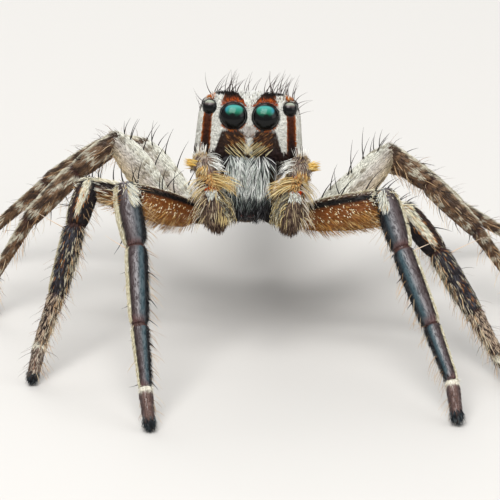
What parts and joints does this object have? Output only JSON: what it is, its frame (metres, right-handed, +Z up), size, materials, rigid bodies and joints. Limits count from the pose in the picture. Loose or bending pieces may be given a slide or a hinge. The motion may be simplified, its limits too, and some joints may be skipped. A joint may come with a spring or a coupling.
{
  "type": "jumping spider",
  "caption": "Life-size still model of a male jumping spider standing high on eight legs, with large front eyes, hairy jaws and feelers.",
  "frame": {"origin": "on the floor, at the bottom centre of the box round the whole stance; the body's middle plane is 0.2 mm to -X of it", "axes": "+Z up, the spider faces -Y, +X is to the right of a viewer who stands in front of it"},
  "size_m": [0.0153, 0.014, 0.0064],
  "materials": {
    "carapace_coat": "short coat, cream and dark brown bands",
    "underside": "brown with thin pale hair",
    "eye_glass": "high gloss, black with a green glow",
    "jaw_hair": "long white and grey hair over black",
    "feeler_hair": "golden hair",
    "feeler_tip_hair": "beige and brown hair",
    "abdomen_coat": "short coat, brown with a pale middle band",
    "front_femur": "orange brown with black above",
    "front_leg": "satin slate blue-black",
    "front_foot": "satin dark brown",
    "second_leg": "dark with pale flecks",
    "hind_femur": "pale hair",
    "hind_leg": "mottled brown"
  },
  "bodies": {
    "root": {"abdomen": "abdomen_coat", "carapace": "carapace_coat", "chelicera_left": "jaw_hair", "chelicera_right": "jaw_hair", "eye_anterior_lateral_left": "eye_glass", "eye_anterior_lateral_right": "eye_glass", "eye_anterior_median_left": "eye_glass", "eye_anterior_median_right": "eye_glass", "eye_posterior_lateral_left": "eye_glass", "eye_posterior_lateral_right": "eye_glass", "eye_posterior_median_left": "eye_glass", "eye_posterior_median_right": "eye_glass", "feeler_left": "feeler_hair", "feeler_right": "feeler_hair", "feeler_tip_left": "feeler_tip_hair", "feeler_tip_right": "feeler_tip_hair", "leg1_left_coxa": "underside", "leg1_left_femur": "front_femur", "leg1_left_foot": "front_foot", "leg1_left_patella": "front_leg", "leg1_left_tibia": "front_leg", "leg1_right_coxa": "underside", "leg1_right_femur": "front_femur", "leg1_right_foot": "front_foot", "leg1_right_patella": "front_leg", "leg1_right_tibia": "front_leg", "leg2_left_coxa": "underside", "leg2_left_femur": "front_femur", "leg2_left_foot": "second_leg", "leg2_left_patella": "second_leg", "leg2_left_tibia": "second_leg", "leg2_right_coxa": "underside", "leg2_right_femur": "front_femur", "leg2_right_foot": "second_leg", "leg2_right_patella": "second_leg", "leg2_right_tibia": "second_leg", "leg3_left_coxa": "underside", "leg3_left_femur": "hind_femur", "leg3_left_foot": "hind_leg", "leg3_left_patella": "hind_leg", "leg3_left_tibia": "hind_leg", "leg3_right_coxa": "underside", "leg3_right_femur": "hind_femur", "leg3_right_foot": "hind_leg", "leg3_right_patella": "hind_leg", "leg3_right_tibia": "hind_leg", "leg4_left_coxa": "underside", "leg4_left_femur": "hind_femur", "leg4_left_foot": "hind_leg", "leg4_left_patella": "hind_leg", "leg4_left_tibia": "hind_leg", "leg4_right_coxa": "underside", "leg4_right_femur": "hind_femur", "leg4_right_foot": "hind_leg", "leg4_right_patella": "hind_leg", "leg4_right_tibia": "hind_leg", "pedicel": "underside", "spinnerets": "underside", "sternum": "underside"}
  },
  "joints": []
}
